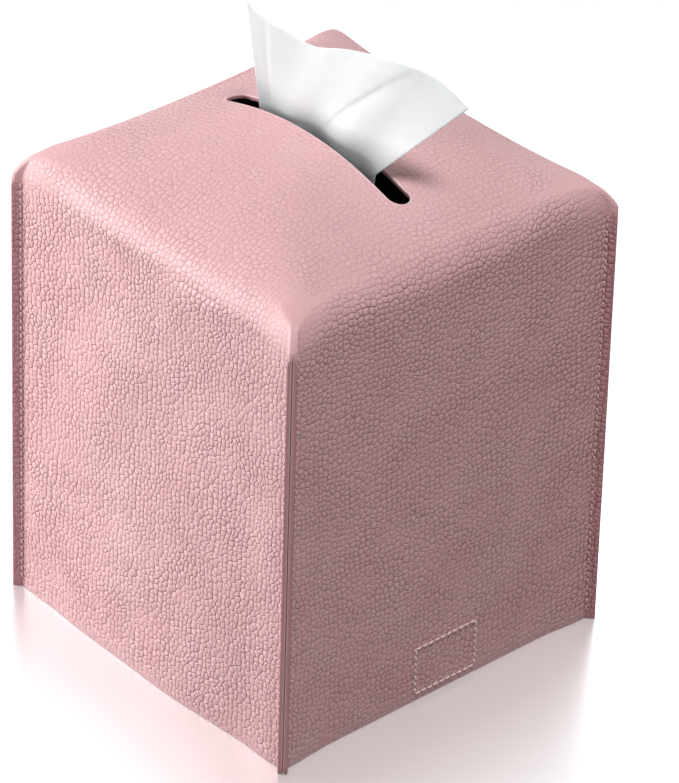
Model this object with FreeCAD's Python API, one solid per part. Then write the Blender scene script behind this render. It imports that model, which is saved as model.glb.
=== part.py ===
import FreeCAD, Part
import math
import os

V = FreeCAD.Vector

# A soft leather cover that drops over a cube carton of tissues. The origin is on the
# table under the middle of the cover, +Z up. The plain front wall faces -Y, the slot
# in the top runs along X, and the belt under the carton runs along X as well.

# Cover, in millimetres
wall_to_wall = 122.0         # outside of one wall to the outside of the wall across from it
crown_height = 168.0         # table to the middle of the puffed top
crown_radius = 130.0         # curve of the puffed top, measured across the middle
roll_radius = 12.0           # soft roll from the middle of a wall into the top
upright_corner_radius = 3.0  # upright corners of the box, outside
corner_softening = 0.04      # growth of the corner radius with the square of the draw-in, per mm
corner_hold = 0.85           # share of the roll that the corners of the top don't follow
hold_fade = 4                # power by which that share fades towards the middle of the top
roundest_corner = 0.9        # largest corner radius, as a share of a contour's half width
roll_bands = 6               # bands that the roll is lofted in
crown_bands = 6              # bands that the puffed top is lofted in
crown_flat = 4.0             # half width of the small flat at the crown, which the slot cuts away
leather_thickness = 1.5
glue_gap = 0.15              # between the leather and its lining
lining_thickness = 0.8
lining_lift = 1.0            # lower edge of the lining above the table

# Slot for the tissues
slot_length = 78.0
slot_width = 10.0
lining_setback = 1.0         # lining cut back from the slot all round

# Sewn corners: the edges of two walls turned outward and stitched face to face
seam_reach = 4.0             # raw edge beyond the corner of the box
seam_height = 149.0          # raw edge, table to top
seam_rise = 6.5              # slanted run from the top of the raw edge up to the corner
seam_run = 10.0              # length of that run towards the middle of the cover
seam_line_gap = 0.3          # line between the two raw edges
seam_line_depth = 1.2
seam_stitch_inset = 3.4      # stitch line behind the raw edge
seam_stitch_margin = 3.0     # first and last stitch from the ends of the raw edge

# Thread
stitch_pitch = 2.5
stitch_length = 1.7
thread_radius = 0.25

# Belt of two straps, closed by hook and loop under the carton
strap_width = 28.0
strap_thickness = 1.2
strap_overlap = 34.0
strap_tip_radius = 4.0
strap_floor_gap = 0.4        # underside of the lower strap above the table
tab_height = 21.0            # top of the sewn tab above the table
tab_gap = 0.1                # between the lining and the sewn tab
bend_radius = 1.0            # inside of the bend from tab to strap
hinge_gap = 0.9              # bend to the free part of the strap
belt_offset = 3.0            # middle of the belt behind the middle of the cover
patch_length = 30.0
patch_width = 22.0
patch_thickness = 1.0
patch_gap = 0.3              # between hooks and loops
patch_stitch_inset = 1.5     # stitch line inside the edge of a patch
strap_level_run = 10.0       # level start of the upper strap
strap_climb_run = 20.0       # stretch over which it climbs onto the lower strap
box_stitch_width = 24.0      # sewn rectangle that holds a tab to its wall
box_stitch_height = 16.5
box_stitch_floor = 2.9       # lower row of that rectangle above the table

# Tissue standing in the slot
tissue_thickness = 1.2
tissue_slot_left = -26.5
tissue_slot_right = 26.0
tissue_top_left = -28.5
tissue_top_right = 53.0
tissue_top_lean_left = -3.0  # set of the top edge along Y at its left end
tissue_top_lean_right = 12.0
tissue_height = 37.0         # highest point of the top edge above the crown
tissue_left_drop = 4.0       # left tip below the highest point
tissue_right_drop = 9.0      # right tip below the highest point
tissue_dip = 11.0            # low place of the top edge below the highest point
tissue_dip_place = 0.24      # where the low place is, as a share of the top edge
tissue_peak_place = 0.72     # where the highest point is
tissue_tail = 27.0           # length below the crown
tissue_tail_narrowing = 3.0  # tail narrower than the slot run, each side
tissue_folds = 3
tissue_top_fold = 6.0        # depth of a fold at the top edge
tissue_tail_fold = 3.0
tissue_lip_gap = 0.45        # fold to slot lip

# Sizes that follow
half_wall = wall_to_wall / 2
roll_x = half_wall - roll_radius
crown_z = crown_height - crown_radius
roll_z = crown_z + math.sqrt((crown_radius - roll_radius) ** 2 - roll_x ** 2)
roll_end = math.atan2(roll_z - crown_z, roll_x)
cap_angle = math.acos(crown_flat / crown_radius)
lining_out = leather_thickness + glue_gap
lining_in = lining_out + lining_thickness
tab_face = half_wall - lining_in - tab_gap
strap_bottom = strap_floor_gap
strap_top = strap_bottom + strap_thickness
hinge_x = tab_face - strap_thickness - bend_radius - hinge_gap
upper_strap_bottom = strap_top + 2 * patch_thickness + patch_gap
upper_strap_top = upper_strap_bottom + strap_thickness
corners = {
    "front_left": (-1, -1),
    "front_right": (1, -1),
    "back_right": (1, 1),
    "back_left": (-1, 1),
}


# Helpers
def line(start, end):
    return Part.LineSegment(V(*start), V(*end)).toShape()


def arc(start, middle, end):
    return Part.Arc(V(*start), V(*middle), V(*end)).toShape()


def turned(x, y, quarter):
    """A plan point after so many quarter turns about the middle."""
    for _ in range(quarter):
        x, y = -y, x
    return x, y


def contour(angle, inset, height=None):
    """Level outline of the cover where its skin has turned by angle from upright.

    The sides bow inward where the roll draws them in more than it draws the corners.
    A positive inset gives the same outline that far inside the skin.
    """
    if angle <= roll_end:
        reach = roll_x + roll_radius * math.cos(angle)
        level = roll_z + roll_radius * math.sin(angle)
    else:
        reach = crown_radius * math.cos(angle)
        level = crown_z + crown_radius * math.sin(angle)
    bow = corner_hold * (half_wall - reach) * (reach / half_wall) ** hold_fade
    half = reach + bow
    radius = upright_corner_radius + corner_softening * (half_wall - half) ** 2
    radius = min(radius, roundest_corner * half)
    shrink = inset * math.cos(angle)
    half -= shrink
    radius -= shrink
    z = level - inset * math.sin(angle) if height is None else height
    run = half - radius
    slant = radius * math.sqrt(0.5)
    edges = []
    for quarter in range(4):
        a = turned(-run, -half, quarter)
        b = turned(0, -half + bow, quarter)
        c = turned(run, -half, quarter)
        d = turned(run + slant, -run - slant, quarter)
        e = turned(half, -run, quarter)
        side = arc((*a, z), (*b, z), (*c, z)) if bow > 1e-6 else line((*a, z), (*c, z))
        edges += [side, arc((*c, z), (*d, z), (*e, z))]
    return Part.Wire(edges)


def cover_form(inset, floor):
    """Closed form of the cover, as far inside its skin as inset, standing on floor."""
    angles = [roll_end * step / roll_bands for step in range(roll_bands + 1)]
    crown_turn = cap_angle - roll_end
    angles += [roll_end + crown_turn * step / crown_bands for step in range(1, crown_bands + 1)]
    wires = [contour(0, inset, floor)] + [contour(angle, inset) for angle in angles]
    return Part.makeLoft(wires, True, True)


def slot_cutter(grow):
    """Upright bar with round ends, wider than the slot by grow all round."""
    radius = slot_width / 2 + grow
    run = (slot_length - slot_width) / 2
    floor = roll_z - roll_radius
    wire = Part.Wire([
        line((-run, -radius, floor), (run, -radius, floor)),
        arc((run, -radius, floor), (run + radius, 0, floor), (run, radius, floor)),
        line((run, radius, floor), (-run, radius, floor)),
        arc((-run, radius, floor), (-run - radius, 0, floor), (-run, -radius, floor)),
    ])
    return Part.Face(wire).extrude(V(0, 0, crown_height))


def upright_plate(points, half_thickness, sx, sy):
    """Plate on the diagonal of one corner, from points of reach past the corner and height."""
    out = V(sx, sy, 0) / math.sqrt(2)
    side = V(-sy, sx, 0) / math.sqrt(2)
    corner = V(sx * half_wall, sy * half_wall, 0)
    outline = [corner + out * reach + V(0, 0, z) - side * half_thickness for reach, z in points]
    face = Part.Face(Part.makePolygon(outline + outline[:1]))
    return face.extrude(side * 2 * half_thickness)


def place(shape, origin, along, normal):
    """Copy of a shape with its X axis along one direction and its Z axis on another."""
    rotation = FreeCAD.Rotation(along, normal.cross(along), normal, "ZXY")
    copy = shape.copy()
    copy.Placement = FreeCAD.Placement(origin, rotation)
    return copy


def stitch_form():
    """One stitch: a half-round bar along X, flat on the plane z = 0."""
    start = -stitch_length / 2
    wire = Part.Wire([
        line((start, -thread_radius, 0), (start, thread_radius, 0)),
        arc((start, thread_radius, 0), (start, 0, thread_radius), (start, -thread_radius, 0)),
    ])
    return Part.Face(wire).extrude(V(stitch_length, 0, 0))


def stitch_row(start, end, normal):
    """Stitches at an even pitch from one point to another, lying on a surface."""
    along = end - start
    count = max(1, round(along.Length / stitch_pitch))
    step = along / count
    direction = V(along).normalize()
    return [place(stitch_form(), start + step * (k + 0.5), direction, normal) for k in range(count)]


def stitch_loop(centre, across, up, width, height):
    """Stitches round a rectangle, seen against the direction across x up."""
    normal = across.cross(up)
    points = [centre + across * (width / 2 * i) + up * (height / 2 * j)
              for i, j in ((-1, -1), (1, -1), (1, 1), (-1, 1))]
    rows = []
    for k in range(4):
        rows += stitch_row(points[k], points[(k + 1) % 4], normal)
    return rows


def mirrored(shape, side):
    """The shape as it is on the right, or its mirror image on the left."""
    return shape if side > 0 else shape.mirror(V(0, 0, 0), V(1, 0, 0))


# Pieces of the cover
def leather_cover():
    """One cross-cut sheet: top, four walls and the turned-out edges of the walls."""
    skin = cover_form(0, 0)
    deep = -2 * roll_radius
    for sx, sy in corners.values():
        fin = upright_plate([
            (deep, 0),
            (seam_reach, 0),
            (seam_reach, seam_height),
            (seam_reach - seam_run, seam_height + seam_rise),
            (deep, seam_height + seam_rise),
        ], leather_thickness, sx, sy)
        skin = skin.fuse(fin)
    skin = skin.cut(cover_form(leather_thickness, -roll_radius))
    for sx, sy in corners.values():
        groove = upright_plate([
            (seam_reach - seam_line_depth, -seam_reach),
            (2 * seam_reach, -seam_reach),
            (2 * seam_reach, crown_height),
            (seam_reach - seam_line_depth, crown_height),
        ], seam_line_gap / 2, sx, sy)
        skin = skin.cut(groove)
    return skin.cut(slot_cutter(0))


def lining():
    """Fabric glued to the inside of the leather, cut back from the slot."""
    shell = cover_form(lining_out, lining_lift).cut(cover_form(lining_in, -lining_lift))
    return shell.cut(slot_cutter(lining_setback))


def seam_stitching(sx, sy):
    """Stitches through both layers of one sewn corner, seen on either face."""
    out = V(sx, sy, 0) / math.sqrt(2)
    side = V(-sy, sx, 0) / math.sqrt(2)
    foot = V(sx * half_wall, sy * half_wall, seam_stitch_margin)
    foot += out * (seam_reach - seam_stitch_inset)
    head = V(foot.x, foot.y, seam_height - seam_stitch_margin)
    rows = []
    for face in (1, -1):
        shift = side * (leather_thickness * face)
        rows += stitch_row(foot + shift, head + shift, side * face)
    return Part.makeCompound(rows)


# Pieces of the belt
def belt_tab(side):
    """Sewn end of a strap: flat on the lining, then bent inward at the foot."""
    y = belt_offset - strap_width / 2
    outer = bend_radius + strap_thickness
    x = tab_face
    inner = tab_face - strap_thickness
    bend_x = tab_face - outer
    bend_z = strap_bottom + outer
    slant = math.sqrt(0.5)
    wire = Part.Wire([
        line((x, y, tab_height), (x, y, bend_z)),
        arc((x, y, bend_z), (bend_x + outer * slant, y, bend_z - outer * slant),
            (bend_x, y, strap_bottom)),
        line((bend_x, y, strap_bottom), (bend_x, y, strap_top)),
        arc((bend_x, y, strap_top), (bend_x + bend_radius * slant, y, bend_z - bend_radius * slant),
            (inner, y, bend_z)),
        line((inner, y, bend_z), (inner, y, tab_height)),
        line((inner, y, tab_height), (x, y, tab_height)),
    ])
    return mirrored(Part.Face(wire).extrude(V(0, strap_width, 0)), side)


def strap_plan():
    """Plan of the right strap from its bend to its round-cornered tip, as a tall block."""
    y0 = belt_offset - strap_width / 2
    y1 = belt_offset + strap_width / 2
    tip = -strap_overlap / 2
    r = strap_tip_radius
    slant = r * (1 - math.sqrt(0.5))
    wire = Part.Wire([
        line((hinge_x, y1, 0), (tip + r, y1, 0)),
        arc((tip + r, y1, 0), (tip + slant, y1 - slant, 0), (tip, y1 - r, 0)),
        line((tip, y1 - r, 0), (tip, y0 + r, 0)),
        arc((tip, y0 + r, 0), (tip + slant, y0 + slant, 0), (tip + r, y0, 0)),
        line((tip + r, y0, 0), (hinge_x, y0, 0)),
        line((hinge_x, y0, 0), (hinge_x, y1, 0)),
    ])
    return Part.Face(wire).extrude(V(0, 0, 2 * upper_strap_top))


def strap_profile(levels):
    """Side view of a strap, extruded over its width: points of x and underside height."""
    y = belt_offset - strap_width / 2
    below = [V(x, y, z) for x, z in levels]
    above = [V(x, y, z + strap_thickness) for x, z in reversed(levels)]
    face = Part.Face(Part.makePolygon(below + above + below[:1]))
    return face.extrude(V(0, strap_width, 0))


def lower_strap():
    """Free part of the right strap, flat above the table."""
    tip = -strap_overlap / 2
    return strap_profile([(hinge_x, strap_bottom), (tip, strap_bottom)]).common(strap_plan())


def upper_strap():
    """Free part of the left strap, which climbs onto the lower one."""
    climb = hinge_x - strap_level_run
    level = climb - strap_climb_run
    form = strap_profile([
        (hinge_x, strap_bottom),
        (climb, strap_bottom),
        (level, upper_strap_bottom),
        (-strap_overlap / 2, upper_strap_bottom),
    ])
    return mirrored(form.common(strap_plan()), -1)


def patch(floor):
    """Strip of hooks or loops sewn across the overlap of the straps."""
    corner = V(-patch_length / 2, belt_offset - patch_width / 2, floor)
    return Part.makeBox(patch_length, patch_width, patch_thickness, corner)


def patch_stitching(level, facing):
    """Stitches that hold a patch, seen on the other face of its strap."""
    centre = V(0, belt_offset, level)
    width = patch_length - 2 * patch_stitch_inset
    height = patch_width - 2 * patch_stitch_inset
    return Part.makeCompound(stitch_loop(centre, V(1, 0, 0), V(0, facing, 0), width, height))


def tab_stitching(side):
    """Sewn rectangle that holds a tab, seen outside on the wall and inside on the tab."""
    z = box_stitch_floor + box_stitch_height / 2
    rows = []
    for x, facing in ((half_wall, 1), (tab_face - strap_thickness, -1)):
        centre = V(x, belt_offset, z)
        rows += stitch_loop(centre, V(0, facing, 0), V(0, 0, 1), box_stitch_width, box_stitch_height)
    return mirrored(Part.makeCompound(rows), side)


# Tissue
def fold_band(left, right, lean_left, lean_right, depth, z):
    """Level cut through the folded sheet: arcs that swing to either side of a slanted line."""
    def point(share, swing, offset):
        x = left + (right - left) * share
        y = lean_left + (lean_right - lean_left) * share + swing + offset
        return x, y, z

    half = tissue_thickness / 2
    front = []
    back = []
    for k in range(tissue_folds):
        swing = depth if k % 2 else -depth
        shares = [(k + part) / tissue_folds for part in (0, 0.5, 1)]
        for edges, offset in ((front, -half), (back, half)):
            a, b, c = (point(share, bend, offset) for share, bend in zip(shares, (0, swing, 0)))
            edges.append(arc(a, b, c) if offset < 0 else arc(c, b, a))
    right_end = line(point(1, 0, -half), point(1, 0, half))
    left_end = line(point(0, 0, half), point(0, 0, -half))
    return Part.Wire(front + [right_end] + back[::-1] + [left_end])


def tissue():
    """Sheet drawn up through the slot and fanned out above it, with its main folds."""
    slot_fold = slot_width / 2 - tissue_thickness / 2 - tissue_lip_gap
    top_z = crown_height + tissue_height
    narrow = tissue_tail_narrowing
    sheet = Part.makeLoft([
        fold_band(tissue_slot_left + narrow, tissue_slot_right - narrow, 0, 0, tissue_tail_fold,
                  crown_height - tissue_tail),
        fold_band(tissue_slot_left, tissue_slot_right, 0, 0, slot_fold, crown_height + tissue_lip_gap),
        fold_band(tissue_top_left, tissue_top_right, tissue_top_lean_left, tissue_top_lean_right,
                  tissue_top_fold, top_z),
    ], True, True)
    spread = tissue_top_right - tissue_top_left
    far = half_wall
    edge = [(-1, tissue_left_drop), (0, tissue_left_drop), (tissue_dip_place, tissue_dip),
            (tissue_peak_place, 0), (1, tissue_right_drop), (2, tissue_right_drop),
            (2, -spread), (-1, -spread)]
    outline = [V(tissue_top_left + spread * share, -far, top_z - drop) for share, drop in edge]
    above = Part.Face(Part.makePolygon(outline + outline[:1])).extrude(V(0, 2 * far, 0))
    return sheet.cut(above)


# Every piece under its own name
pieces = {
    "leather_cover": leather_cover(),
    "lining": lining(),
    "belt_tab_left": belt_tab(-1),
    "belt_tab_right": belt_tab(1),
    "belt_strap_upper": upper_strap(),
    "belt_strap_lower": lower_strap(),
    "hook_patch": patch(strap_top),
    "loop_patch": patch(upper_strap_bottom - patch_thickness),
    "tab_stitching_left": tab_stitching(-1),
    "tab_stitching_right": tab_stitching(1),
    "hook_patch_stitching": patch_stitching(strap_bottom, -1),
    "loop_patch_stitching": patch_stitching(upper_strap_top, 1),
    "tissue": tissue(),
}
for corner_name, (sx, sy) in corners.items():
    pieces["seam_stitching_" + corner_name] = seam_stitching(sx, sy)

os.makedirs("parts", exist_ok=True)
for name, shape in pieces.items():
    shape.exportStep("parts/" + name + ".step")
    box = shape.BoundBox
    print(f"{name}: {len(shape.Solids)} solids, valid {shape.isValid()}, {shape.Volume:.1f} mm3, "
          f"x {box.XMin:.2f} to {box.XMax:.2f}, y {box.YMin:.2f} to {box.YMax:.2f}, "
          f"z {box.ZMin:.2f} to {box.ZMax:.2f}")
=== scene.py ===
import bpy
import numpy as np
from numpy import cos, linspace, pi, sin, sqrt
from mathutils import Matrix, Vector


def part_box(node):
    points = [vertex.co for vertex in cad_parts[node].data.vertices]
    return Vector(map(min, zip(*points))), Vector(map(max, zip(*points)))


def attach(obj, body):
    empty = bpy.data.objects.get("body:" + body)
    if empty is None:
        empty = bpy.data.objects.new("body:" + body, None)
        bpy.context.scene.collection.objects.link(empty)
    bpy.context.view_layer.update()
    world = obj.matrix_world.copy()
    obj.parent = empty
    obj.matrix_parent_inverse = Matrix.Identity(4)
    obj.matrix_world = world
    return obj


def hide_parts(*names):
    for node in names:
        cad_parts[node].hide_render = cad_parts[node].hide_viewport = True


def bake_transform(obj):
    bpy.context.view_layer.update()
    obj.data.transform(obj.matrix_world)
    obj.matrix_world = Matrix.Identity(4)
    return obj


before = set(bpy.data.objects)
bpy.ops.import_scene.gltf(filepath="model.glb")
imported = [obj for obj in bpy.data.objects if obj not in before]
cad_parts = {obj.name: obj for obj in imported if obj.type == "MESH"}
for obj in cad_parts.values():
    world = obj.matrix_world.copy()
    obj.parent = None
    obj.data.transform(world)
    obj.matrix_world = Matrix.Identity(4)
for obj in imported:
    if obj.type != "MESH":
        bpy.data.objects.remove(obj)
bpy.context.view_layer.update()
mm = 0.001
bpy.context.scene.view_settings.view_transform = "Standard"


# Shared curves and grids
def eased(low, high, value):
    # smooth step: 3 t^2 - 2 t^3 of the share t of the way from low to high
    share = np.clip((value - low) / (high - low), 0, 1)
    return share * share * (3 - 2 * share)


def bell(value, middle, width):
    # bell curve: 1 at the middle, falling off over the width
    return np.exp(-((value - middle) / width) ** 2)


def together(*parts):
    # coordinates side by side, spread to one shape
    return np.stack(np.broadcast_arrays(*parts), axis=-1)


def joined(*parts):
    # runs of columns end to end
    return np.concatenate(parts, axis=-1)


def unit(ways):
    # directions brought to length 1
    return ways / np.linalg.norm(ways, axis=-1, keepdims=True)


def runLength(first, second):
    # length along each line of points: the sum of its steps so far
    steps = [np.diff(way, axis=-1, prepend=way[..., :1]) for way in (first, second)]
    return np.cumsum(np.hypot(*steps), axis=-1)


def smoothThrough(stops, values, wanted):
    # one smooth curve through the values: cubic pieces that share the slope at each stop
    slopes = np.gradient(values, stops, axis=0)
    piece = np.clip(np.searchsorted(stops, wanted, side="right") - 1, 0, len(stops) - 2)
    span = (stops[piece + 1] - stops[piece])[:, None]
    share = (wanted - stops[piece])[:, None] / span
    rest = 1 - share
    near = rest * rest * (1 + 2 * share)
    far = share * share * (3 - 2 * share)
    bends = share * rest * rest * slopes[piece] - share * share * rest * slopes[piece + 1]
    return near * values[piece] + far * values[piece + 1] + span * bends


def gridFaces(rows, columns, loopRows=False, loopColumns=False):
    # quads between neighbours of a grid of points, closed on itself where it loops
    lastRow = rows if loopRows else rows - 1
    lastColumn = columns if loopColumns else columns - 1
    row, column = np.meshgrid(np.arange(lastRow), np.arange(lastColumn), indexing="ij")
    nextRow = (row + 1) % rows
    nextColumn = (column + 1) % columns
    corners = [row * columns + column, row * columns + nextColumn,
               nextRow * columns + nextColumn, nextRow * columns + column]
    return together(*corners).reshape(-1, 4)


def cellCorners(near, far):
    # flat map of each cell between two sets of rows: its four corners, in the order of gridFaces
    corners = [near[..., :-1, :], near[..., 1:, :], far[..., 1:, :], far[..., :-1, :]]
    return np.stack(corners, axis=-2).reshape(-1, 4, 2)


def endCaps(rings, sides):
    # a tube's two ends: its first ring turned round, and its last ring
    return np.stack([np.arange(sides)[::-1], (rings - 1) * sides + np.arange(sides)])


def tubeFaces(count, rings, sides):
    # faces and end caps of many tubes, each a stack of rings, counted on from one tube to the next
    starts = (np.arange(count) * rings * sides)[:, None, None]
    faces = gridFaces(rings, sides, loopColumns=True)[None] + starts
    caps = endCaps(rings, sides)[None] + starts
    return faces.reshape(-1, 4), caps.reshape(-1, sides)


def enclosedVolume(points, faces):
    # sum of the wedges from the origin to both halves of each quad
    a, b, c, d = (points[faces[:, k]] for k in range(4))
    return (np.cross(a, b) * c).sum() / 6.0 + (np.cross(a, c) * d).sum() / 6.0


def addObject(name, data):
    # object at the origin, linked to the scene
    made = bpy.data.objects.new(name, data)
    bpy.context.collection.objects.link(made)
    return made


def addPiece(name, points, faces, finish, body, nodes,
             flatMap=None, marks=None, caps=(), closed=True):
    # mesh from whole arrays with its faces turned outwards, hung under its body, with its CAD nodes hidden
    points = np.asarray(points, float).reshape(-1, 3)
    if closed and enclosedVolume(points, faces) < 0:
        faces = faces[:, ::-1]
        caps = [cap[::-1] for cap in caps]
        flatMap = None if flatMap is None else flatMap[:, ::-1]
    mesh = bpy.data.meshes.new(name)
    mesh.from_pydata(points.tolist(), [], faces.tolist() + [cap.tolist() for cap in caps])
    if flatMap is not None:
        corners = np.zeros((len(mesh.loops), 2))
        corners[:faces.size] = flatMap.reshape(-1, 2)
        mesh.uv_layers.new(name="flatMap").data.foreach_set("uv", corners.ravel())
    for key, values in (marks or {}).items():
        mesh.attributes.new(key, "FLOAT", "POINT").data.foreach_set("value", np.ravel(values))
    mesh.polygons.foreach_set("use_smooth", np.ones(len(mesh.polygons), bool))
    mesh.materials.append(finish)
    mesh.update()
    piece = addObject(name, mesh)
    if body:
        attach(piece, body)
    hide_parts(*nodes)
    print("made", name, len(points), "points")
    return piece


# Shader values
class Tone:
    # one shader socket: + - and * add Math nodes, and so do the three named sums
    def __init__(self, finish, socket):
        self.finish = finish
        self.socket = socket

    def maths(self, operation, first, second=0.0):
        # one Math node on one or two values
        return self.finish.node("Math", {0: first, 1: second}, operation=operation)

    def __add__(self, other):
        return self.maths("ADD", self, other)

    def __sub__(self, other):
        return self.maths("SUBTRACT", self, other)

    def __rsub__(self, other):
        return self.maths("SUBTRACT", other, self)

    def __mul__(self, other):
        return self.maths("MULTIPLY", self, other)

    def sine(self):
        return self.maths("SINE", self)

    def size(self):
        return self.maths("ABSOLUTE", self)

    def most(self, other):
        return self.maths("MAXIMUM", self, other)

    __radd__ = __add__
    __rmul__ = __mul__


class Finish:
    # a material, or a world, and its nodes
    def __init__(self, name, store=None):
        self.material = (bpy.data.materials if store is None else store).new(name)
        self.material.use_nodes = True
        self.tree = self.material.node_tree
        self.tree.nodes.clear()

    def node(self, kind, sockets, output=0, **settings):
        # one node: its settings first, then the value or link of each socket
        made = self.tree.nodes.new("ShaderNode" + kind)
        for key, value in settings.items():
            setattr(made, key, value)
        for key, value in sockets.items():
            if isinstance(value, Tone):
                self.tree.links.new(value.socket, made.inputs[key])
            else:
                made.inputs[key].default_value = value
        return Tone(self, made.outputs[output]) if made.outputs else made

    def flatPlace(self):
        # place on the piece's own map
        return self.node("UVMap", {}, uv_map="flatMap")

    def objectPlace(self):
        # place in the object's own frame, in metres
        return self.node("TexCoord", {}, "Object")

    def part(self, place, axis):
        # one coordinate of a place
        return self.node("SeparateXYZ", {0: place}, axis)

    def vector(self, operation, sockets):
        # the same sum on all three coordinates of a place
        return self.node("VectorMath", sockets, operation=operation)

    def noise(self, place, scale, detail, roughness, output=0):
        # cloudy values from 0 to 1, with finer layers added up to the detail
        sockets = {"Vector": place, "Scale": scale, "Detail": detail, "Roughness": roughness}
        return self.node("TexNoise", sockets, output, noise_dimensions="3D")

    def cells(self, feature, sockets):
        # scattered cells on a flat map: distance to the nearest middle or to the nearest edge
        return self.node("TexVoronoi", sockets, voronoi_dimensions="2D", feature=feature)

    def steps(self, value, low, high):
        # smooth step of a value between two limits
        return self.node("MapRange", {0: value, 1: low, 2: high}, interpolation_type="SMOOTHSTEP")

    def mixed(self, share, first, second):
        # colour that goes from the first to the second
        return self.node("Mix", {0: share, 6: first, 7: second}, 2, data_type="RGBA")

    def shifted(self, place, scale, reach):
        # place moved by a noise of the given scale, at most by about half the reach
        cloud = self.noise(place, scale, 1.0, 0.5, 1)
        middle = self.vector("SUBTRACT", {0: cloud, 1: (0.5, 0.5, 0.5)})
        return self.vector("ADD", {0: place, 1: self.vector("SCALE", {0: middle, 3: reach})})

    def mark(self, name):
        # value that the mesh carries at its points
        return self.node("Attribute", {}, "Fac", attribute_name=name)

    def seen(self):
        # 1 for what the camera sees, straight or in a mirror or through glass
        paths = [self.node("LightPath", {}, name)
                 for name in ("Is Camera Ray", "Is Glossy Ray", "Is Transmission Ray")]
        return paths[0].most(paths[1]).most(paths[2])

    def close(self, colour, roughness, height, depth, sheen=0.0, specular=0.5, through=0.0):
        # surface shader, with the height as a bump of the given depth and a share of light let through
        bump = self.node("Bump", {"Height": height, "Distance": depth})
        sockets = {"Base Color": colour, "Roughness": roughness, "Normal": bump}
        sockets.update({"Sheen Weight": sheen, "Specular IOR Level": specular})
        surface = self.node("BsdfPrincipled", sockets)
        if through:
            glow = self.node("BsdfTranslucent", {"Color": colour})
            surface = self.node("MixShader", {0: through, 1: surface, 2: glow})
        self.node("OutputMaterial", {"Surface": surface})
        return self.material


# Finishes
leatherTone = dict(
    # crease is painted shade: the colour laid into the grooves between pebbles and into the seam's groove
    pebble=(0.67, 0.38, 0.395, 1), crease=(0.42, 0.175, 0.195, 1), pale=(0.71, 0.425, 0.44, 1),
    cut=(0.62, 0.315, 0.33, 1), core=(0.82, 0.56, 0.57, 1), rim=(0.86, 0.62, 0.63, 1),
    pebbleSize=1.9 * mm, randomness=0.72, domeSoftness=0.3, grooveWidth=0.2, grainDepth=0.52 * mm,
    sway=5 * mm, swayScale=28, warp=0.2 * mm, warpScale=420,
    fineScale=2600, speckScale=1500, wrinkleScale=700, patchScale=75, cloudScale=38,
    roughness=0.36, specular=0.25,
)


def pebbledLeather(tone):
    # pebbles: each a dome over a Voronoi cell of a swayed map, with a groove where two cells meet; painted
    # shade darkens the grooves' colour
    skin = Finish("pebbledLeather")
    place = skin.flatPlace()
    swayed = skin.shifted(place, tone["swayScale"], tone["sway"])
    swayed = skin.shifted(swayed, tone["warpScale"], tone["warp"])
    cell = {"Vector": swayed, "Scale": 1.0 / tone["pebbleSize"], "Randomness": tone["randomness"]}
    groove = skin.steps(skin.cells("DISTANCE_TO_EDGE", cell), 0.0, tone["grooveWidth"])
    middle = skin.cells("SMOOTH_F1", dict(cell, Smoothness=tone["domeSoftness"]))
    coarse = groove * 0.5 + (1 - middle * middle * 2.0) * 0.5
    fine = skin.noise(place, tone["fineScale"], 3.0, 0.6)
    speck = skin.steps(skin.noise(place, tone["speckScale"], 2.0, 0.6), 0.45, 0.7)
    wrinkle = skin.noise(place, tone["wrinkleScale"], 3.0, 0.55)
    patch = skin.steps(skin.noise(place, tone["patchScale"], 2.0, 0.5), 0.25, 0.7)
    cloud = skin.steps(skin.noise(place, tone["cloudScale"], 3.0, 0.55), 0.3, 0.7)
    grain = skin.mark("grain") * (patch * 0.4 + 0.6)
    cut = skin.mark("cutEdge")
    height = coarse * grain + fine * 0.12 + wrinkle * (1 - grain) * 0.22
    height = height * (1 - cut) + fine * cut * 0.4
    # painted shade: darker colour in the grooves between pebbles and along the seam
    grooveShade = (1 - groove) * grain * grain * 0.4 + skin.mark("seamShade") * 0.8
    colour = skin.mixed(cloud, tone["pebble"], tone["pale"])
    layers = ((speck * grain * (1 - grain) * 1.4, "rim"), (grooveShade, "crease"), (cut, "cut"),
              (skin.mark("seamCore"), "core"), (skin.mark("lipRim"), "rim"))
    for share, name in layers:
        colour = skin.mixed(share, colour, tone[name])
    roughness = tone["roughness"] + (1 - groove) * 0.14 + cut * 0.3 + fine * 0.08
    return skin.close(colour, roughness, height, tone["grainDepth"], specular=tone["specular"])


fibreTone = dict(
    dark=(0.016, 0.014, 0.016, 1), light=(0.055, 0.05, 0.055, 1),
    nap=0.25 * mm, napScale=1800, patchScale=90,
)


def brushedMicrofibre(tone):
    # short brushed nap: two noises, the finer one stretched along one way
    cloth = Finish("brushedMicrofibre")
    place = cloth.objectPlace()
    brushed = cloth.node("Mapping", {"Vector": place, "Scale": (1.0, 1.0, 0.25)})
    nap = cloth.noise(brushed, tone["napScale"], 3.0, 0.6)
    patch = cloth.noise(place, tone["patchScale"], 2.0, 0.5)
    colour = cloth.mixed(nap * 0.7 + patch * 0.3, tone["dark"], tone["light"])
    return cloth.close(colour, 0.85 + nap * 0.1, nap, tone["nap"], sheen=0.15)


threadTone = dict(
    light=(0.92, 0.79, 0.79, 1), dark=(0.70, 0.50, 0.51, 1), deep=(0.55, 0.27, 0.30, 1),
    plies=5.0, twist=0.06 * mm,
)


def sewingThread(tone):
    # twisted plies: slanted waves round and along each stitch
    thread = Finish("sewingThread")
    place = thread.flatPlace()
    along, around = thread.part(place, 0), thread.part(place, 1)
    ply = ((along * tone["plies"] + around) * (2 * pi)).sine() * 0.5 + 0.5
    colour = thread.mixed(ply, tone["dark"], tone["light"])
    colour = thread.mixed(thread.mark("deepDye"), colour, tone["deep"])
    return thread.close(colour, 0.55 + ply * 0.1, ply, tone["twist"], sheen=0.1)


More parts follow.
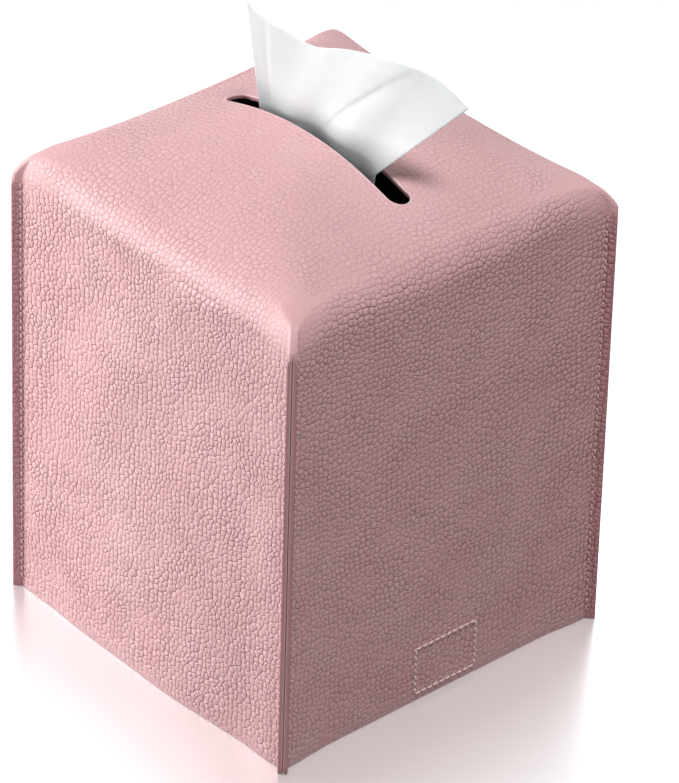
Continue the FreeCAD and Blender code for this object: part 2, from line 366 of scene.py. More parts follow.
webbingTone = dict(
    dark=(0.012, 0.011, 0.012, 1), light=(0.07, 0.065, 0.07, 1),
    rib=1.1 * mm, depth=0.22 * mm, fuzzScale=3000,
)


def wovenWebbing(tone):
    # plain weave: rows across and yarns along, each set raised where the other dips
    webbing = Finish("wovenWebbing")
    place = webbing.flatPlace()
    row, yarn = ((webbing.part(place, axis) * (2 * pi / tone["rib"])).sine() for axis in (0, 1))
    weave = row * yarn * 0.5 + 0.5
    fuzz = webbing.noise(place, tone["fuzzScale"], 2.0, 0.6)
    colour = webbing.mixed(weave * 0.7 + fuzz * 0.3, tone["dark"], tone["light"])
    height = weave * 0.8 + row.size() * 0.1 + fuzz * 0.1
    return webbing.close(colour, 0.7 + fuzz * 0.15, height, tone["depth"], sheen=0.1)


tapeTone = dict(dark=(0.008, 0.008, 0.009, 1), light=(0.035, 0.034, 0.036, 1), roughness=0.4,
                speckScale=2400, depth=0.08 * mm)
pileTone = dict(dark=(0.012, 0.012, 0.013, 1), light=(0.06, 0.058, 0.06, 1), roughness=0.8,
                speckScale=2400, depth=0.08 * mm)


def nylonTape(name, tone):
    # dyed nylon: fine uneven colour and gloss
    nylon = Finish(name)
    speck = nylon.noise(nylon.objectPlace(), tone["speckScale"], 3.0, 0.6)
    colour = nylon.mixed(speck, tone["dark"], tone["light"])
    return nylon.close(colour, tone["roughness"] + speck * 0.15, speck, tone["depth"])


paperTone = dict(
    lit=(0.925, 0.95, 0.95, 1), shade=(0.895, 0.92, 0.925, 1),
    # far and dim are painted shade: for the sheet's left part and for its foot near the slot
    far=(0.81, 0.83, 0.835, 1), dim=(0.64, 0.655, 0.66, 1),
    crepe=0.05 * mm, crepeScale=1900, fibreScale=260, through=0.5,
)


def softPaper(tone):
    # crepe: fine ripples across the sheet, with loose fibres; painted shade darkens the sheet's left part
    # and its foot in the slot
    paper = Finish("softPaper")
    place = paper.flatPlace()
    stretched = paper.node("Mapping", {"Vector": place, "Scale": (0.35, 1.0, 1.0)})
    ripple = paper.noise(stretched, tone["crepeScale"], 3.0, 0.65)
    fibre = paper.noise(place, tone["fibreScale"], 4.0, 0.6)
    colour = paper.mixed(paper.steps(fibre * 0.6 + ripple * 0.4, 0.35, 0.65), tone["shade"], tone["lit"])
    # painted shade: the left part of the sheet is darker
    colour = paper.mixed(paper.mark("leftShade"), colour, tone["far"])
    # painted shade: the sheet darkens towards its foot in the slot
    colour = paper.mixed(paper.mark("slotShade"), colour, tone["dim"])
    return paper.close(colour, 0.88 + fibre * 0.1, ripple, tone["crepe"], 0.1, 0.2, tone["through"])


leatherFinish = pebbledLeather(leatherTone)
liningFinish = brushedMicrofibre(fibreTone)
threadFinish = sewingThread(threadTone)
beltFinish = wovenWebbing(webbingTone)
hookFinish = nylonTape("hookNylon", tapeTone)
loopFinish = nylonTape("loopNylon", pileTone)
paperFinish = softPaper(paperTone)
print("finishes made")

# Sewn leather cover
cover = dict(
    halfWall=61 * mm, crownHeight=168 * mm, crownRadius=130 * mm, rollRadius=12 * mm, leather=1.5 * mm,
    uprightCorner=3 * mm, cornerSoftening=0.3 / mm, cornerHold=0.85, holdFade=4,
    roundest=0.9, sharpest=0.2 * mm,  # limits of a corner's radius, the first as a share of the half width
    slotLength=78 * mm, slotHalf=(4.1 * mm, 3.9 * mm), slotMiddle=0.8 * mm,
    frontLip=(169.5 * mm, 4.2 * mm), backLip=(168 * mm, 6 * mm),  # height, and fall to the slot's ends
    lipAt=(3.3 * mm, 4.7 * mm),  # how far the front and the back lip are from the middle
    lipBlend=(8 * mm, 34 * mm, 2.5),  # width of the change between the lips, where it grows and how fast
    endSlope=0.5, endBend=0.2, sag=0.05, hip=3.4 * mm, hipGrowth=1.2, hipReach=0.4,
    flare=1.2 * mm, flareFrom=0.7,  # the wall leans out to the seam over the last of its half width
    bows=(3 * mm, 0.0, 2 * mm, 0.0),  # swell of the front, right, back and left wall at the table
    bowFade=125 * mm, ripple=0.35 * mm, rippleWaves=(74, 52, 131, 90), rippleShift=1.7, rippleCross=0.6,
    rippleFade=(1.0, 0.7), insideRows=(14, 9, 14),  # rows of wall, roll and crown inside
    crowding=1.3,  # how the crown's outer rows close up towards the slot
)
earForm = dict(
    reach=3.5 * mm, fillet=0.6 * mm, top=(148.3 * mm, 155.8 * mm), rawTop=(145 * mm, 147 * mm),
    lineDepth=0.9 * mm, arris=(1.2 * mm, 0.3 * mm),  # pairs: above the raw edges, and at them
    lineGap=(0.05 * mm, 0.16 * mm), coreOff=(0.1 * mm, 0.42 * mm),
    rawStep=0.7, lineStep=0.6,  # points between, as shares of the raw edge and of the line's depth
)

halfWall = cover["halfWall"]
rollRadius = cover["rollRadius"]
slotMiddle = cover["slotMiddle"]
rollX = halfWall - rollRadius
crownZ = cover["crownHeight"] - cover["crownRadius"]
rollZ = crownZ + sqrt((cover["crownRadius"] - rollRadius) ** 2 - rollX ** 2)
rollEnd = np.arctan2(rollZ - crownZ, rollX)
sideShares = linspace(-1, 1, 61)[1:-1]
endPoints = 19


def cornerRadius(half, inset):
    # upright corner that gets rounder towards the crown
    radius = cover["uprightCorner"] + cover["cornerSoftening"] * (halfWall - half) ** 2
    return np.maximum(np.minimum(radius, cover["roundest"] * half) - inset, cover["sharpest"])


def crownBow(reach):
    # how far a side of the soft top draws in between its corners
    return cover["cornerHold"] * (halfWall - reach) * (reach / halfWall) ** cover["holdFade"]


def plainEnd(half, radius):
    # corner arc from the end of a side to the diagonal
    turn = linspace(0, pi / 4, endPoints)
    return half - radius + radius * sin(turn), half - radius + radius * cos(turn)


def earEnd(half, sheet, reach, raw):
    # turned-out edge, from the wall to the seam line: fillet, face, arris, raw edge and seam line,
    # the last four as a distance out along the diagonal and a distance off it;
    # above the raw edges the tip is rounded and the line closes
    fillet, flare = earForm["fillet"], cover["flare"]
    sheet = sheet + 0 * half
    reach = reach + 0 * half
    arris, gap, core = (above + (at - above) * raw
                        for above, at in (earForm["arris"], earForm["lineGap"], earForm["coreOff"]))
    groove = earForm["lineDepth"] * raw
    rawStep, lineStep = earForm["rawStep"], earForm["lineStep"]
    tangent = fillet * np.tan(pi / 8)
    root = sqrt(2) * flare - sheet
    turn = linspace(0, pi / 4, 6)
    filletAlong = half + (root - sheet) / sqrt(2) - tangent + fillet * sin(turn)
    filletOut = half + flare + fillet * (1 - cos(turn))
    faceShare = linspace(0, 1, 6)[1:]
    edgeTurn = linspace(0, pi / 2, 4)[1:]
    faceEnd = reach - arris
    out = [root + tangent + (faceEnd - root - tangent) * faceShare, faceEnd + arris * sin(edgeTurn),
           reach, reach, reach, reach - lineStep * groove, reach - groove]
    off = [sheet + 0 * faceShare, sheet - arris + arris * cos(edgeTurn),
           rawStep * (sheet - arris), core, gap, lineStep * gap, 0 * gap]
    out, off = joined(*out), joined(*off)
    along = joined(filletAlong, half + (out - off) / sqrt(2))
    return along, joined(filletOut, half + (out + off) / sqrt(2))


def earShare(level):
    # full below the slanted top of the turned-out edge, nothing above it
    low, high = earForm["top"]
    return np.clip((high - level) / (high - low), 0, 1)


def rawShare(level):
    # full where the two raw edges show
    return 1 - eased(*earForm["rawTop"], level)


def sideRing(half, radius, bow, inset, ear, raw):
    # one wall's share of each level outline, as distance along the wall and out from the middle:
    # left end, side with its bow, right end; the ends go from a plain arc to the turned-out edge
    endAlong, endOut = plainEnd(half, radius)
    run = half - radius
    if np.any(ear > 0):
        earAlong, earOut = earEnd(half, cover["leather"] - inset, earForm["reach"] - inset, raw)
        endAlong = endAlong + ear * (earAlong - endAlong)
        endOut = endOut + ear * (earOut - endOut)
        run = endAlong[:, :1]
    lift = cover["flare"] * ear * eased(cover["flareFrom"], 1.0, np.abs(sideShares))
    sideOut = half - bow * (1 - sideShares ** 2) + lift
    along = joined(-endAlong[:, ::-1], run * sideShares, endAlong)
    return along, joined(endOut[:, ::-1], sideOut, endOut)


def turnToSide(along, outward, side):
    # front, right, back and left wall, in that order round the cover
    return [(along, -outward), (outward, along), (-along, outward), (-outward, -along)][side]


def slotSide(grow, side):
    # one wall's share of the slot's outline: long sides for front and back, round ends for left and right;
    # the slot lies a little behind the middle and narrows towards its right end
    left, right = (half + grow for half in cover["slotHalf"])
    straight = cover["slotLength"] / 2 - max(cover["slotHalf"])
    shift = slotMiddle if side in (1, 2) else -slotMiddle
    if side % 2 == 0:
        first, last = (left, right) if side == 0 else (right, left)
        turn = linspace(0, pi / 4, endPoints)
        start, end = straight + first * sin(turn), straight + last * sin(turn)
        width = (first + last) / 2 + (last - first) / 2 * sideShares
        outward = joined((first * cos(turn))[::-1], width, last * cos(turn))
        return joined(-start[::-1], straight * sideShares, end), outward + shift
    half = right if side == 1 else left
    sidePart = 0.82  # share of the round end that belongs to the side's own points
    tail = linspace(sidePart, 1.0, endPoints)
    turn = joined(-tail[::-1], sidePart * sideShares, tail) * pi / 4
    return half * sin(turn) + shift, straight + half * cos(turn)


def crownLevel(x, y):
    # height of the puffed top: one curve runs up from the front or back rim to the slot's lip, another up
    # from the left or right rim, and the lower of the two counts, with a smooth change at the hips
    span = rollX + rollRadius * cos(rollEnd)
    bow = crownBow(span)
    run = span + bow - cornerRadius(span + bow, 0.0)
    halfX, halfY = (span + bow * np.minimum(np.abs(other) / run, 1.0) ** 2 for other in (y, x))
    rim = rollZ + rollRadius * sin(rollEnd)
    width, growFrom, growth = cover["lipBlend"]
    width = width + growth * np.maximum(np.abs(x) - growFrom, 0.0)
    share = eased(-0.5, 0.5, (y - slotMiddle) / width)
    top, fall = (front * (1 - share) + back * share
                 for front, back in zip(cover["frontLip"], cover["backLip"]))
    lip = top - fall * (x / (cover["slotLength"] / 2)) ** 2
    length = halfY - np.where(y < slotMiddle, *cover["lipAt"])
    up = np.clip((halfY - np.abs(y)) / length, -0.05, 1.0)
    start = length * up * (1 - up) ** 2 / np.tan(rollEnd)
    fromFront = rim + start + (lip - rim) * up ** 2 * (3 - 2 * up)
    fromFront = fromFront - cover["sag"] * length * up ** 2 * (1 - up)
    inward = (halfX - np.abs(x)) / halfX
    fromSide = rim + cover["endSlope"] * halfX * (inward - cover["endBend"] * inward ** 2)
    change = 1 + cover["hipGrowth"] * np.clip(inward / cover["hipReach"], 0, 1)
    change = cover["hip"] * change
    near = np.maximum(change - np.abs(fromFront - fromSide), 0.0) / change
    return np.minimum(fromFront, fromSide) - 0.25 * change * near ** 2


def handRipple(along, level, side):
    # the front and back walls aren't quite flat: crossed waves that die out at the corners
    waves = cover["rippleWaves"]
    wave = sin(along * waves[0] + side) * sin(level * waves[1] + cover["rippleShift"] * side)
    wave = wave + cover["rippleCross"] * sin(along * waves[2] - level * waves[3])
    fade = eased(*cover["rippleFade"], np.abs(along) / halfWall)
    return cover["ripple"] * wave * fade * (side % 2 == 0)


def wallRows(levels, inset, ears):
    # wall outlines at the given heights, swelling towards the table
    level = np.asarray(levels, float)[:, None]
    half = halfWall - inset + 0 * level
    radius = cornerRadius(halfWall + 0 * level, inset)
    fade = 1 - eased(0, cover["bowFade"], level)
    ear = earShare(level) * ears
    sides = []
    for side, bow in enumerate(cover["bows"]):
        along, outward = sideRing(half, radius, -bow * fade, inset, ear, rawShare(level))
        outward = outward + handRipple(along, level, side)
        sides.append(together(along, outward, level))
    return sides


def rollRows(turns, inset, ears):
    # outlines round the soft top edge, by the turn from the wall
    turn = np.asarray(turns, float)[:, None]
    reach = rollX + rollRadius * cos(turn)
    bow = crownBow(reach)
    half = reach + bow
    draw = inset * cos(turn)
    level = rollZ + (rollRadius - inset) * sin(turn)
    ear = earShare(level) * ears
    radius = cornerRadius(half, draw)
    along, outward = sideRing(half - draw, radius, bow, 0 * draw + inset, ear, rawShare(level))
    return [together(along, outward, level)] * 4


def crownRows(shares, inset, grow):
    # from the end of the roll to the slot, straight in plan and on the puffed top in height
    share = np.asarray(shares, float)[:, None]
    rim, skin = (rollRows([rollEnd], depth, 0.0)[0][0].T[:2] for depth in (inset, 0.0))
    drop = inset * (sin(rollEnd) * (1 - share) + share)
    sides = []
    for side in range(4):
        slot = slotSide(grow, side)
        plan, above = ([ring * (1 - share) + line * share for ring, line in zip(rings, slot)]
                       for rings in (rim, skin))
        level = crownLevel(*turnToSide(*above, side)) - drop
        sides.append(together(*plan, level))
    return sides


def lipRows(grows, drops):
    # cut edge of the slot: outlines that grow or shrink while they go down from the puffed top
    sides = []
    for side in range(4):
        along, outward = np.stack([slotSide(grow, side) for grow in grows], axis=1)
        level = crownLevel(*turnToSide(along, outward, side)) - np.asarray(drops)[:, None]
        sides.append(together(along, outward, level))
    return sides


def shellRows(form):
    # rows of a closed shell and a word for each: up the outside, over the roll and the puffed top,
    # through the slot and back down inside
    outer, inner, floor, grow, arris = (form[key] for key in ("outer", "inner", "floor", "grow", "arris"))
    ears = form["ears"]
    wallCount, rollCount, crownCount = form["counts"]
    wallInside, rollInside, crownInside = cover["insideRows"]
    bend = linspace(0, pi / 2, 4)
    rise, spread = arris - arris * cos(bend), arris - arris * sin(bend)
    low = floor + arris
    upward = low + (rollZ - low) * linspace(0, 1, wallCount)
    downward = low + (rollZ - low) * linspace(1, 0, wallInside)
    dense = 1 - (1 - linspace(0, 1, crownCount)) ** cover["crowding"]
    blocks = [("foot", wallRows([floor + rise[k]], outer + spread[k], ears)) for k in range(3)]
    blocks += [
        ("wall", wallRows(upward, outer, ears)),
        ("roll", rollRows(linspace(0, rollEnd, rollCount)[1:], outer, ears)),
        ("crown", crownRows(dense[1:], outer, grow + arris)),
        ("lip", lipRows(grow + spread[1:], outer + rise[1:])),
        ("lip", lipRows([grow] * 2, [(outer + inner) / 2, inner - arris])),
        ("lip", lipRows(grow + rise[1:], inner - spread[1:])),
        ("inside", crownRows(linspace(1, 0, crownInside)[1:], inner, grow + arris)),
        ("inside", rollRows(linspace(rollEnd, 0, rollInside)[1:], inner, 0.0)),
        ("inside", wallRows(downward[1:], inner, 0.0)),
        ("foot", wallRows([floor], inner - arris, 0.0)),
    ]
    sides = [np.concatenate([rows[side] for word, rows in blocks]) for side in range(4)]
    return sides, np.concatenate([[word] * len(rows[0]) for word, rows in blocks])


def uncutCross(sides, kind):
    # plan of the uncut cross: the top lies flat and each wall is folded out from it
    middle = sides[0].shape[1] // 2
    rim = np.flatnonzero(kind == "roll")[-1]
    onTop = np.isin(kind, ["crown", "lip"])[:, None]
    flats = []
    for side, rows in enumerate(sides):
        along, outward, level = np.moveaxis(rows, -1, 0)
        across = runLength(along, outward)
        across = across - across[:, middle:middle + 1]
        fallen = runLength(outward[:, middle], level[:, middle])
        folded = outward[rim] + (fallen[rim] - fallen)[:, None]
        place = turnToSide(np.where(onTop, along, across), np.where(onTop, outward, folded), side)
        flats.append(together(*place))
    return np.stack(flats, axis=1)


wear = dict(
    strength={"foot": 0.2, "wall": 1.0, "roll": 1.0, "crown": 0.75, "lip": 0.3, "inside": 0.2},
    footGrain=0.3, footFade=5 * mm, crownFade=0.35,
    cutColumns=(8.5, 6.5), coreColumns=((0, 1, 2, 3, 4), (0.0, 0.2, 1.0, 0.5, 0.0)),  # from the seam line
    # painted shade in the seam's groove and along its stitch line, by column from the seam line
    seamShadeColumns=((0, 1, 7, 8, 12, 13.5, 17), (1.0, 0.0, 0.0, 0.7, 0.75, 1.1, 0.0)),
    smoothing=0.75, smoothColumns=(27, 17), smoothLevel=(138 * mm, 150 * mm), smoothClimb=(0.22, 0.0),
    polish=0.55, polishAt=0.36, polishWidth=0.25,  # the front roll is rubbed smooth
)


def leatherMarks(sides, kind, form):
    # strength of the grain, cut edges, pale line between two raw edges, rims of the slot and painted shade
    # along the seam's groove and stitch line, each by the row's word and height and by the column's count
    # from the seam line
    columns = sides[0].shape[1]
    place = np.arange(columns)
    fromTip = np.minimum(place, columns - 1 - place)
    height = sides[0][:, columns // 2, 2]
    ear = (rawShare(height) * form["ears"] * np.isin(kind, ["foot", "wall", "roll"]))[:, None]
    bare = np.isin(kind, ["lip", "foot"])[:, None]
    cut = np.maximum(eased(*wear["cutColumns"], fromTip) * ear, bare)
    core = np.interp(fromTip, *wear["coreColumns"]) * ear
    # painted shade along the seam's groove and stitch line
    sewn = np.interp(fromTip, *wear["seamShadeColumns"]) * ear
    lips = np.flatnonzero(kind == "lip")
    rim = np.zeros((len(kind), columns))
    rim[np.concatenate([lips[:2], lips[:1] - 1, lips[-3:]])] = form["ears"]
    strength = wear["strength"]
    grain = np.array([strength[word] for word in kind])
    walls, rolled, crown = (np.flatnonzero(kind == word) for word in ("wall", "roll", "crown"))
    overRoll = linspace(0, 1, len(rolled))
    climb = np.cumsum(kind == "crown") / form["counts"][2]
    risen = eased(0, wear["footFade"], height[walls])
    grain[walls] *= wear["footGrain"] + (1 - wear["footGrain"]) * risen
    grain[rolled] = strength["wall"] + (strength["crown"] - strength["wall"]) * overRoll
    grain[crown] *= 1 - wear["crownFade"] * climb[crown]
    smooth = eased(*wear["smoothLevel"], height) * eased(*wear["smoothClimb"], climb)
    smooth = (smooth * np.isin(kind, ["wall", "roll", "crown"]))[:, None]
    smooth = smooth * eased(*wear["smoothColumns"], fromTip)
    grain = grain[:, None] * (1 - wear["smoothing"] * smooth)
    marks = {"grain": grain, "cutEdge": cut, "seamCore": core, "lipRim": rim, "seamShade": sewn}
    marks = {key: np.tile(values[:, :-1], 4) for key, values in marks.items()}
    polish = wear["polish"] * bell(overRoll, wear["polishAt"], wear["polishWidth"])
    marks["grain"][rolled, :columns - 1] *= 1 - polish[:, None]
    return marks


def sewnShell(name, form, finish, node):
    # one closed shell: the rows of the four walls joined round the cover
    sides, kind = shellRows(form)
    points = []
    for side, rows in enumerate(sides):
        x, y = turnToSide(rows[..., 0], rows[..., 1], side)
        points.append(together(x, y, rows[..., 2])[:, :-1])
    points = np.concatenate(points, axis=1)
    flat = uncutCross(sides, kind)
    corners = cellCorners(flat, np.roll(flat, -1, axis=0))
    faces = gridFaces(*points.shape[:2], loopRows=True, loopColumns=True)
    marks = leatherMarks(sides, kind, form)
    addPiece(name, points, faces, finish, "cover", [node], corners, marks)


# depth of the two faces, height of the foot, growth of the slot, and counts of wall, roll and crown rows
leatherForm = dict(outer=0.0, inner=cover["leather"], floor=0.0, grow=0.0, arris=0.3 * mm,
                   ears=1.0, counts=(44, 20, 34))
liningForm = dict(outer=1.65 * mm, inner=2.45 * mm, floor=1 * mm, grow=1 * mm, arris=0.15 * mm,
                  ears=0.0, counts=(14, 10, 18))
sewnShell("leatherSkin", leatherForm, leatherFinish, "leather_cover")
sewnShell("liningSkin", liningForm, liningFinish, "lining")

# Stitching
stitch = dict(
    pitch=2.5 * mm, length=1.9 * mm, seam=0.27 * mm, tab=0.36 * mm, patch=0.2 * mm,
    rise=0.8, dive=1.0, thinning=0.35, slant=0.10, rings=7, sides=6,
)


def stitchRow(name, centres, along, out, body, node, thread, deepDye=0.0):
    # each stitch is a thread that rises off the surface in the middle and dives in at both ends:
    # a ring of points carried along the line, its height a fourth-power arch
    count, rings, sides = len(centres), stitch["rings"], stitch["sides"]
    along = unit(along + stitch["slant"] * np.cross(out, along))
    aside = np.cross(out, along)
    step = linspace(-1, 1, rings)[:, None]
    lift = thread * (stitch["rise"] - stitch["dive"] * step ** 4)
    girth = thread * (1 - stitch["thinning"] * step ** 6)
    turn = linspace(0, 2 * pi, sides, endpoint=False)[:, None]
    line = centres[:, None] + along[:, None] * (step * stitch["length"] / 2) + out[:, None] * lift
    ring = aside[:, None, None] * cos(turn) + out[:, None, None] * sin(turn)
    points = (line[:, :, None] + ring * girth[:, None]).reshape(-1, 3)
    faces, caps = tubeFaces(count, rings, sides)
    grid = together(linspace(0, 1, rings)[:, None], linspace(0, 1, sides + 1))
    flat = np.tile(cellCorners(grid[:-1], grid[1:]), (count, 1, 1))
    marks = {"deepDye": np.full(len(points), deepDye)}
    addPiece(name, points, faces, threadFinish, body, [node], flat, marks, caps)


def evenRun(length):
    # middles of the stitches along a line, as far apart as the pitch allows
    count = max(1, int(round(length / stitch["pitch"])))
    return ((np.arange(count) + 0.5) / count * length - length / 2)[:, None]


def sewnLoop(centre, right, up, width, height):
    # stitches along the four sides of a rectangle, facing right x up
    centre, right, up = (np.asarray(v, float) for v in (centre, right, up))
    rows = []
    for sign in (-1.0, 1.0):
        rows.append((centre + evenRun(width) * right + sign * up * height / 2, right))
        rows.append((centre + evenRun(height) * up + sign * right * width / 2, up))
    return joinedRows([(spots, way, np.cross(right, up)) for spots, way in rows])


def joinedRows(rows):
    # rows of stitches as one: their places, ways along and ways out
    full = [[np.broadcast_to(part, row[0].shape) for part in row] for row in rows]
    return [np.concatenate(parts) for parts in zip(*full)]


seamForm = dict(out=0.6 * mm, low=3 * mm, high=146 * mm, deepDye=0.4)
cornerWays = {"front_left": (-1, -1), "front_right": (1, -1), "back_right": (1, 1), "back_left": (-1, 1)}
upright = np.array([0.0, 0.0, 1.0])
for cornerName, (signX, signY) in cornerWays.items():
    heights = evenRun(seamForm["high"] - seamForm["low"]) + (seamForm["high"] + seamForm["low"]) / 2
    outer = np.array([signX, signY, 0.0])
    corner = outer * halfWall + outer / sqrt(2) * seamForm["out"]
    rows = []
    for sign in (-1.0, 1.0):
        face = sign * np.array([-signY, signX, 0.0]) / sqrt(2)
        rows.append((corner + face * cover["leather"] + heights * upright, upright, face))
    stitchRow("seamThread_" + cornerName, *joinedRows(rows), "cover", "seam_stitching_" + cornerName,
              stitch["seam"], seamForm["deepDye"])

# Belt
belt = dict(
    width=28 * mm, sheet=1.2 * mm, middle=3 * mm, bend=1.6 * mm, bendX=56.25 * mm, tabX=57.85 * mm,
    lowLevel=1 * mm, highLevel=4.5 * mm, climb=(45.35 * mm, 25.35 * mm), tip=4 * mm, edge=0.45 * mm,
    fold=(57 * mm, 53.5 * mm),  # where a strap would start to turn with its hinge, and where it would have turned
    rows=(14, 12, 60, 9),  # points down the wall, round the bend, along, and round the tip
    section=(7, 15),  # points round an edge and across
)


def beltStrip(name, sign, climbs, nodes):
    # a strip of webbing: a flat section with round edges carried down the wall, round the bend and
    # along under the carton, its tip narrowed by a round corner
    low, bend, bendX, tip = (belt[key] for key in ("lowLevel", "bend", "bendX", "tip"))
    downRows, bendRows, alongRows, tipRows = belt["rows"]
    edgePoints, flatPoints = belt["section"]
    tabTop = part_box(nodes[0])[1][2]
    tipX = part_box(nodes[1])[0 if sign > 0 else 1][0]
    reach = abs(tipX - sign * bendX)
    down = linspace(tabTop, low + bend, downRows)[:-1]
    turn = linspace(0, pi / 2, bendRows)
    roundTip = reach - tip * (1 - sin(linspace(0, pi / 2, tipRows)))
    run = joined(linspace(0, reach - tip, alongRows)[1:], roundTip[1:])
    level = low + 0 * run
    if climbs:
        start, end = belt["climb"]
        level = low + (belt["highLevel"] - low) * eased(-start, -end, run - bendX)
    pathX = joined(belt["tabX"] + 0 * down, bendX + bend * cos(turn), bendX - run)
    pathZ = joined(down, low + bend - bend * sin(turn), level)
    wayX, wayZ = unit(together(np.gradient(pathX), np.gradient(pathZ))).T[..., None]
    toTip = joined(np.full(len(down) + len(turn), reach), reach - run)
    inTip = np.clip(tip - toTip, 0.0, tip)
    halfWidth = belt["width"] / 2 - (tip - sqrt(tip ** 2 - inTip ** 2))
    edgeTurn = linspace(-pi / 2, pi / 2, edgePoints)
    flatRun = linspace(-1, 1, flatPoints)[1:-1]
    thick = belt["sheet"] / 2
    half = np.stack([joined(flatRun, 0 * edgeTurn + 1.0),
                     joined(0 * flatRun, belt["edge"] * (cos(edgeTurn) - 1.0)),
                     joined(0 * flatRun - thick, thick * sin(edgeTurn))])
    shareY, addY, offset = joined(half, -half)
    y = belt["middle"] + halfWidth[:, None] * shareY + addY
    x = sign * (pathX[:, None] - wayZ * offset)
    z = pathZ[:, None] + wayX * offset
    rows, columns = y.shape
    flat = together(runLength(pathX, pathZ)[:, None], y)
    flat = np.concatenate([flat, flat[:, :1]], axis=1)
    strip = addPiece(name, together(x, y, z), gridFaces(rows, columns, loopColumns=True), beltFinish, None,
                     nodes, cellCorners(flat[:-1], flat[1:]), caps=endCaps(rows, columns))
    start, end = ((sign * foldX, belt["middle"], low) for foldX in belt["fold"])
    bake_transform(strip)


beltStrip("beltLeft", -1.0, True, ["belt_tab_left", "belt_strap_upper"])
beltStrip("beltRight", 1.0, False, ["belt_tab_right", "belt_strap_lower"])

boxForm = dict(width=24 * mm, height=16.5 * mm, low=2.9 * mm, wall=61 * mm, tabInside=57.25 * mm)
for sideName, sign in (("left", -1.0), ("right", 1.0)):
    loops = []
    for place, way in ((boxForm["wall"], sign), (boxForm["tabInside"], -sign)):
        centre = (sign * place, belt["middle"], boxForm["low"] + boxForm["height"] / 2)
        loops.append(sewnLoop(centre, (0, way, 0), upright, boxForm["width"], boxForm["height"]))
    stitchRow("tabThread_" + sideName, *joinedRows(loops), "cover", "tab_stitching_" + sideName,
              stitch["tab"])

# Hook and loop patches
patch = dict(
    width=30 * mm, depth=22 * mm, middle=3 * mm, backing=0.4 * mm, inset=1.5 * mm, sewnOff=0.6 * mm,
    squareness=0.22, edgeShare=0.3, bevel=0.3, innerRing=0.999, nextRing=2 * mm, sunk=0.8, scatter=0.12,
    askew=(0.31, 0.95, 0.02),  # a slanted way that each thread's turn is measured from
    hooks=dict(pitch=1.5 * mm, thread=0.11 * mm, margin=2.4 * mm, sides=4, seed=3,
               tall=1.05, stem=0.35, arc=1.15 * pi, curl=0.28, lean=0.06),
    loops=dict(pitch=1.35 * mm, thread=0.07 * mm, margin=2 * mm, sides=3, seed=5,
               tall=1.1, low=0.75, wide=(0.45, 0.75)),  # widths in mm
)


def roundedSlab(low, high):
    # a flat slab: rings of a rounded rectangle, drawn in at its upper and lower edge
    turn = linspace(0, 2 * pi, 49)[:-1]
    shapeX, shapeY = (np.sign(way) * np.abs(way) ** patch["squareness"]
                      for way in (cos(turn), sin(turn)))
    edge = (high - low) * patch["edgeShare"]
    bevel = patch["bevel"] * edge
    pull = np.array([patch["innerRing"] * patch["depth"] / 2, patch["nextRing"], edge, bevel, 0.0])
    lift = np.array([0.0, 0.0, 0.0, bevel, edge])
    pulls = joined(pull, pull[::-1])[:, None]
    levels = joined(low + lift, high - lift[::-1])[:, None]
    x = (patch["width"] / 2 - pulls) * shapeX
    y = (patch["depth"] / 2 - pulls) * shapeY + patch["middle"]
    points = together(x, y, levels).reshape(-1, 3)
    return points, gridFaces(*x.shape, loopColumns=True), endCaps(*x.shape)


def threadField(spots, paths, thread, sides):
    # thin threads: a ring of points carried along each path
    way = unit(np.gradient(paths, axis=1))
    flatWay = unit(np.cross(way, patch["askew"]))
    otherWay = np.cross(way, flatWay)
    turn = linspace(0, 2 * pi, sides, endpoint=False)[:, None]
    ring = flatWay[:, :, None] * cos(turn) + otherWay[:, :, None] * sin(turn)
    points = (spots[:, None, None] + paths[:, :, None] + ring * thread).reshape(-1, 3)
    return points, *tubeFaces(*paths.shape[:2], sides)


def fieldSpots(field, level, rng):
    # even rows of places on the patch, each a little off its row
    pitch, margin = field["pitch"], field["margin"]
    x, y = (np.arange(margin - size / 2, size / 2 - margin + 1e-9, pitch)
            for size in (patch["width"], patch["depth"]))
    spots = together(x, y[:, None] + patch["middle"], level).reshape(-1, 3)
    spots[:, :2] += rng.normal(0.0, patch["scatter"] * pitch, (len(spots), 2))
    return spots


def hookPaths(count, tall, sign, field):
    # hooks: a straight stem, then an arc of a little over half a turn, every second one the other way
    step = linspace(0, 1, 7)
    share = field["stem"]
    bend = field["arc"] * np.clip((step - share) / (1 - share), 0, 1)
    curl = tall * field["curl"]
    stem = tall * field["tall"] - curl - field["thread"]
    side = np.where(np.arange(count) % 2 == 0, 1.0, -1.0)[:, None]
    rise = np.where(step < share, stem * step / share, stem + curl * sin(bend))
    return together(side * curl * (1 - cos(bend)), field["lean"] * tall * side * step, sign * rise)


def loopPaths(count, tall, sign, field, rng):
    # loops: half an ellipse each, turned, as wide and as tall as chance has it
    step = linspace(0, pi, 7)
    lean = rng.uniform(0, 2 * pi, count)[:, None]
    reach = rng.uniform(*field["wide"], count)[:, None] * mm * cos(step)
    rise = rng.uniform(field["low"], 1.0, count)[:, None] * sin(step)
    rise = rise * (tall * field["tall"] - field["thread"])
    return together(reach * cos(lean), reach * sin(lean), sign * rise)


